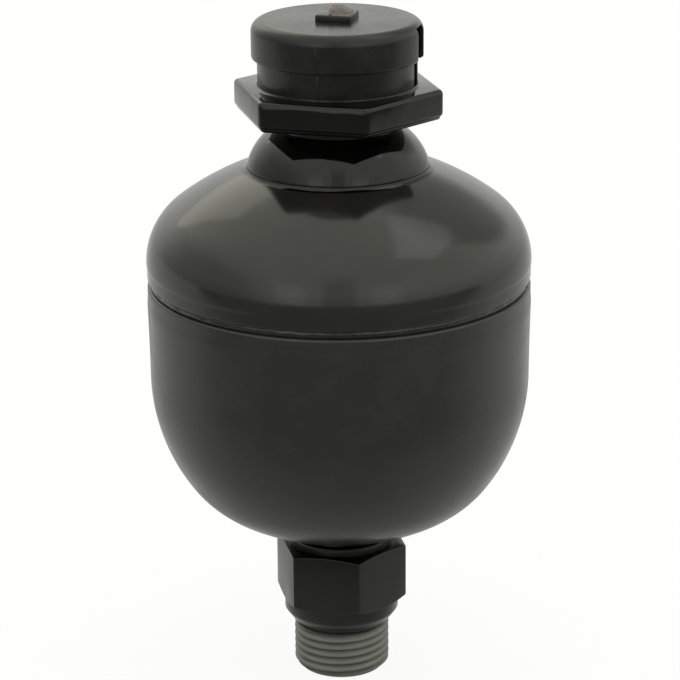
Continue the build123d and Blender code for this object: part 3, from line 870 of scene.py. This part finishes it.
def makeCap():
    low, high = (corner.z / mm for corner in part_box("protective_cap"))
    top = low - 0.05 + cap["skirtLength"] + cap["headLength"]
    headLow = top - cap["headLength"]
    inside = cap["headRadius"] - cap["wall"]
    outline = [(0, top - cap["ceiling"]), (inside - 0.5, top - cap["ceiling"]), (inside, top - cap["ceiling"] - 0.5),
               (inside, headLow + cap["step"]), (cap["inner"], headLow + cap["step"] - 1.05), (cap["inner"], low),
               (cap["skirtRadius"] - 0.15, low), (cap["skirtRadius"], low + 0.15),
               (cap["skirtRadius"], headLow - 0.12), (cap["skirtRadius"] + 0.1, headLow)]
    lipMiddle = (cap["headRadius"] - cap["lowerChamfer"] + 0.1, headLow + cap["lip"])
    outline += onArc(lipMiddle, cap["lip"], -90, 60, 30)
    foot, shoulder = cap["lowerChamfer"], cap["shoulder"]
    outline += onArc((cap["headRadius"] - foot, headLow + foot), foot, -45, 0, 15)
    outline += onArc((cap["headRadius"] - shoulder, top - shoulder), shoulder, 0, 90, 6)
    outline += [(0, top)]
    shell = turn("capShell", outline, False)
    slotTop = top - cap["slotRoof"]
    for width, foot in ((cap["slotWidth"], low - 1), (cap["notchWidth"], headLow)):
        tool = addBlock("slot", (6, width, slotTop - foot), (15, 0, (slotTop + foot) / 2))
        cutWith(shell, tool, "DIFFERENCE")
    roundEdges(shell, 0.12, 2, 35)
    padDepth = cap["padHeight"] + 0.2
    pad = addBlock("pad", (cap["pad"], cap["pad"], padDepth), (0, 0, top - 0.2 + padDepth / 2))
    roundEdges(pad, 0.22, 3, 30)
    stubLow = top + cap["padHeight"]
    stub = turn("gateStub", [
        (0, stubLow - 0.1), (cap["stubRadius"] + 0.3, stubLow - 0.1), (cap["stubRadius"] + 0.2, stubLow + 0.2),
        (cap["stubRadius"] - 0.1, stubLow + 0.5), (cap["stubRadius"] - 0.45, stubLow + 0.8),
        (cap["stubRadius"] - 0.9, high - 0.12), (0.8, high - 0.1), (0, high - 0.12)], False, 48)
    snapOff(stub, stubLow, high)
    line = addBlock(
        "partingLine", (cap["lineWidth"], 0.6, cap["skirtLength"] - 0.1),
        (0, 0.3 - cap["skirtRadius"] - cap["lineHeight"], (low + headLow) / 2),
    )
    roundEdges(line, 0.1, 3, 30)
    headLine = addBlock(
        "headPartingLine", (cap["lineWidth"] * 0.7, 0.6, cap["headLength"] - cap["shoulder"] - 0.9),
        (0, 0.3 - cap["headRadius"] - cap["lineHeight"] * 0.8, (headLow + 0.7 + top - cap["shoulder"] - 0.2) / 2),
    )
    roundEdges(headLine, 0.08, 3, 30)
    for part in (shell, pad, line, headLine):
        dress(part, capPlastic)
    dress(stub, snappedPlastic)
    piece = joinAll("pushOnCap", [shell, pad, stub, line, headLine])
    makeActive(piece)
    piece.rotation_euler = (0, 0, math.radians(cap["turn"]))
    bpy.ops.object.transform_apply(location=True, rotation=True, scale=True)
    smooth(piece, 32)
    finishPiece(piece, "protective_cap")


makeCap()
print("cap made")


# Diaphragm

diaphragm = {
    "gap": 0.4,
    "thickness": 2.0,
    "hole": 2.53,
    "beadHeight": 4.5,
    "beadThickness": 3.0,
    "beadRound": 0.6,
    "turnsOverFrom": (0, 0, 0.062),
    "turnsOverTo": (0, 0, 0.031),
}


def makeDiaphragm():
    near = shells["wall"] + diaphragm["gap"]
    far = near + diaphragm["thickness"]
    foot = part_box("diaphragm")[1].z / mm - diaphragm["beadHeight"]
    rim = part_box("diaphragm")[1].x / mm
    head = foot + diaphragm["beadHeight"]
    roundOff = diaphragm["beadRound"]
    outline = cupArcs(near, diaphragm["hole"])
    outline += [(shells["ballRadius"] - near, foot), (rim - roundOff, foot)]
    outline += onArc((rim - roundOff, foot + roundOff), roundOff, -75, 0, 15)
    outline += onArc((rim - roundOff, head - roundOff), roundOff, 0, 90, 15)
    outline += onArc((rim - diaphragm["beadThickness"] + roundOff, head - roundOff), roundOff, 90, 180, 15)
    outline += list(reversed(cupArcs(far, diaphragm["hole"])))
    piece = dress(turn("rubberDiaphragm", outline, steps=180), diaphragmRubber)
    smooth(piece, 40)
    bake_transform(piece)
    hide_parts("diaphragm")


makeDiaphragm()
print("diaphragm moulded")


# Camera

camera = {
    "distance": 480.0,
    "height": 229.4,
    "azimuth": 15.0,
    "pitch": 18.88,
    "roll": -0.45,
    "lens": 144.6,
    "shift": 0.0007,
}


def placeCamera():
    azimuth = math.radians(camera["azimuth"])
    place = (
        camera["distance"] * math.sin(azimuth) * mm,
        -camera["distance"] * math.cos(azimuth) * mm,
        camera["height"] * mm,
    )
    bpy.ops.object.camera_add(location=place, rotation=(0, 0, 0))
    eye = bpy.context.object
    turnMatrix = (
        Matrix.Rotation(azimuth, 4, "Z")
        @ Matrix.Rotation(math.radians(90 - camera["pitch"]), 4, "X")
        @ Matrix.Rotation(math.radians(camera["roll"]), 4, "Z")
    )
    eye.rotation_euler = turnMatrix.to_euler("XYZ")
    eye.data.lens = camera["lens"]
    eye.data.sensor_width = 36
    eye.data.shift_x = camera["shift"]
    eye.data.clip_start = 0.01
    bpy.context.scene.camera = eye


placeCamera()

# Floor and light

studio = {
    "floorTone": 0.42,
    "floorSize": 8.0,
    "backgroundWhite": 1.14,
    "shownToCamera": 0.8,
    "shownToGloss": 0.38,
    "frontDim": 0.4,
    "frontReach": (-0.04, 0.14),  # metres from the object, where the dim end begins and is full
    "sky": 1.1,
    "skyTint": (1.0, 1.015, 0.885, 1),
    "horizon": 0.76,
    "leftSide": 0.58,
    "behindCamera": 0.66,
    "gapEdge": (0.19, 0.12),  # edges below are shares of the way out to the side
    "panels": 0.3,
    "panelInner": (0.3, 0.36),
    "panelOuter": (0.62, 0.54),
    "backRight": 0.5,
    "backRightWay": (0.27, 0.74, 0.616),
    "backRightReach": (0.87, 0.965),
}
# softboxes: turn round the object and height in degrees, distance and size in metres
softboxes = {
    "rightWindow": {
        "turn": 119.0, "rise": 60.5, "away": 1.4, "size": (0.85, 0.5), "watts": 0.78, "colour": (1.0, 0.99, 0.97),
    },
    "leftBackWarm": {
        "turn": -138.0, "rise": 34.0, "away": 1.6, "size": (0.6, 0.8), "watts": 0.98, "colour": (1.0, 0.87, 0.76),
    },
    "backStrip": {
        "turn": 171.5, "rise": 60.0, "away": 1.4, "size": (0.05, 0.42), "watts": 0.22, "colour": (1.0, 1.0, 1.0),
    },
}


def ahead():
    # level direction from the object to the camera
    azimuth = math.radians(camera["azimuth"])
    return (math.sin(azimuth), -math.cos(azimuth), 0)


def layFloor():
    deselectAll()
    bpy.ops.mesh.primitive_plane_add(size=studio["floorSize"], location=(0, 0, -0.0002))
    floor = bpy.context.object
    floor.name = "floor"
    material = bpy.data.materials.new("paleFloor")
    material.use_nodes = True
    tree = material.node_tree
    tree.nodes.clear()
    path = addNode(tree, "ShaderNodeLightPath").outputs
    place = addNode(tree, "ShaderNodeTexCoord").outputs["Object"]
    tone = studio["floorTone"]
    mottle = grade(tree, noise(tree, place, 9.0, 3.0), 0.3, 0.7, tone * 0.98, tone * 1.02)
    white = addNode(tree, "ShaderNodeEmission", {"Color": (1, 1, 1, 1), "Strength": studio["backgroundWhite"]})
    gloss = sums(tree, "MAXIMUM", path["Is Glossy Ray"], path["Is Transmission Ray"])
    # the floor in front of the object lies in the room's dim end
    front = grade(tree, along(tree, place, ahead()), *studio["frontReach"])
    shown = times(tree, sums(tree, "SUBTRACT", 1.0, front), studio["shownToGloss"])
    amount = times(tree, path["Is Camera Ray"], studio["shownToCamera"])
    amount = sums(tree, "MULTIPLY_ADD", gloss, shown, amount)
    dim = times(tree, gloss, front, studio["frontDim"])
    matt = addNode(tree, "ShaderNodeBsdfDiffuse", {"Color": times(tree, mottle, sums(tree, "SUBTRACT", 1.0, dim))})
    mix = addNode(tree, "ShaderNodeMixShader", {0: amount, 1: matt.outputs[0], 2: white.outputs[0]})
    addNode(tree, "ShaderNodeOutputMaterial", {"Surface": mix.outputs[0]})
    floor.data.materials.append(material)


def lightStudio():
    # one even tent, a little dimmer at the horizon and low on the left, white where it is seen directly
    world = bpy.data.worlds.new("studio")
    bpy.context.scene.world = world
    world.use_nodes = True
    tree = world.node_tree
    tree.nodes.clear()
    path = addNode(tree, "ShaderNodeLightPath").outputs
    way = addNode(tree, "ShaderNodeTexCoord").outputs["Generated"]
    rise = addNode(tree, "ShaderNodeSeparateXYZ", {"Vector": way}).outputs["Z"]
    azimuth = math.radians(camera["azimuth"])
    side = along(tree, way, (math.cos(azimuth), math.sin(azimuth), 0))
    height = grade(tree, rise, 0.0, 0.3, studio["horizon"], 1.0)
    leftLow = times(tree, grade(tree, side, -0.55, -0.95), grade(tree, rise, 0.85, 0.4))
    dim = sums(tree, "SUBTRACT", 1.0, times(tree, leftLow, 1 - studio["leftSide"]))
    # two tall panels stand left and right of the camera, with the dark of the room between them
    front = grade(tree, along(tree, way, ahead()), 0.3, 0.5)
    sideways = sums(tree, "ABSOLUTE", side, None)
    low = times(tree, front, grade(tree, rise, 0.62, 0.3))
    gap = times(tree, grade(tree, sideways, *studio["gapEdge"]), front, grade(tree, rise, 0.86, 0.5))
    inner, outer = (grade(tree, sideways, *studio[edge]) for edge in ("panelInner", "panelOuter"))
    panel = times(tree, inner, outer, low)
    dim = sums(tree, "SUBTRACT", dim, times(tree, gap, 1 - studio["behindCamera"]))
    dim = sums(tree, "MULTIPLY_ADD", panel, studio["panels"], dim)
    # a dim corner of the tent stands behind the object on the right
    corner = along(tree, way, studio["backRightWay"])
    corner = grade(tree, corner, *studio["backRightReach"], 1.0, studio["backRight"])
    dim = times(tree, dim, corner)
    level = times(tree, height, dim, studio["sky"])
    tint = blendColours(tree, grade(tree, rise, 0.0, 0.5), (1, 1, 1, 1), studio["skyTint"])
    tent = addNode(tree, "ShaderNodeBackground", {"Color": tint, "Strength": level})
    white = addNode(tree, "ShaderNodeBackground", {"Color": (1, 1, 1, 1), "Strength": 1.0})
    seen = sums(tree, "MAXIMUM", path["Is Camera Ray"], path["Is Transmission Ray"])
    mix = addNode(tree, "ShaderNodeMixShader", {0: seen, 1: tent.outputs[0], 2: white.outputs[0]})
    addNode(tree, "ShaderNodeOutputWorld", {"Surface": mix.outputs[0]})
    for name, box in softboxes.items():
        turnAngle, rise = math.radians(box["turn"]), math.radians(box["rise"])
        place = (
            box["away"] * math.cos(rise) * math.sin(turnAngle),
            -box["away"] * math.cos(rise) * math.cos(turnAngle),
            box["away"] * math.sin(rise) + 0.07,
        )
        bpy.ops.object.light_add(type="AREA", location=place, rotation=(math.pi / 2 - rise, 0, turnAngle))
        lamp = bpy.context.object
        lamp.name = name
        lamp.data.shape = "RECTANGLE"
        lamp.data.size, lamp.data.size_y = box["size"]
        lamp.data.energy = box["watts"]
        lamp.data.color = box["colour"]
        lamp.visible_camera = False


layFloor()
lightStudio()
bpy.context.scene.view_settings.view_transform = "Standard"
print("studio lit")
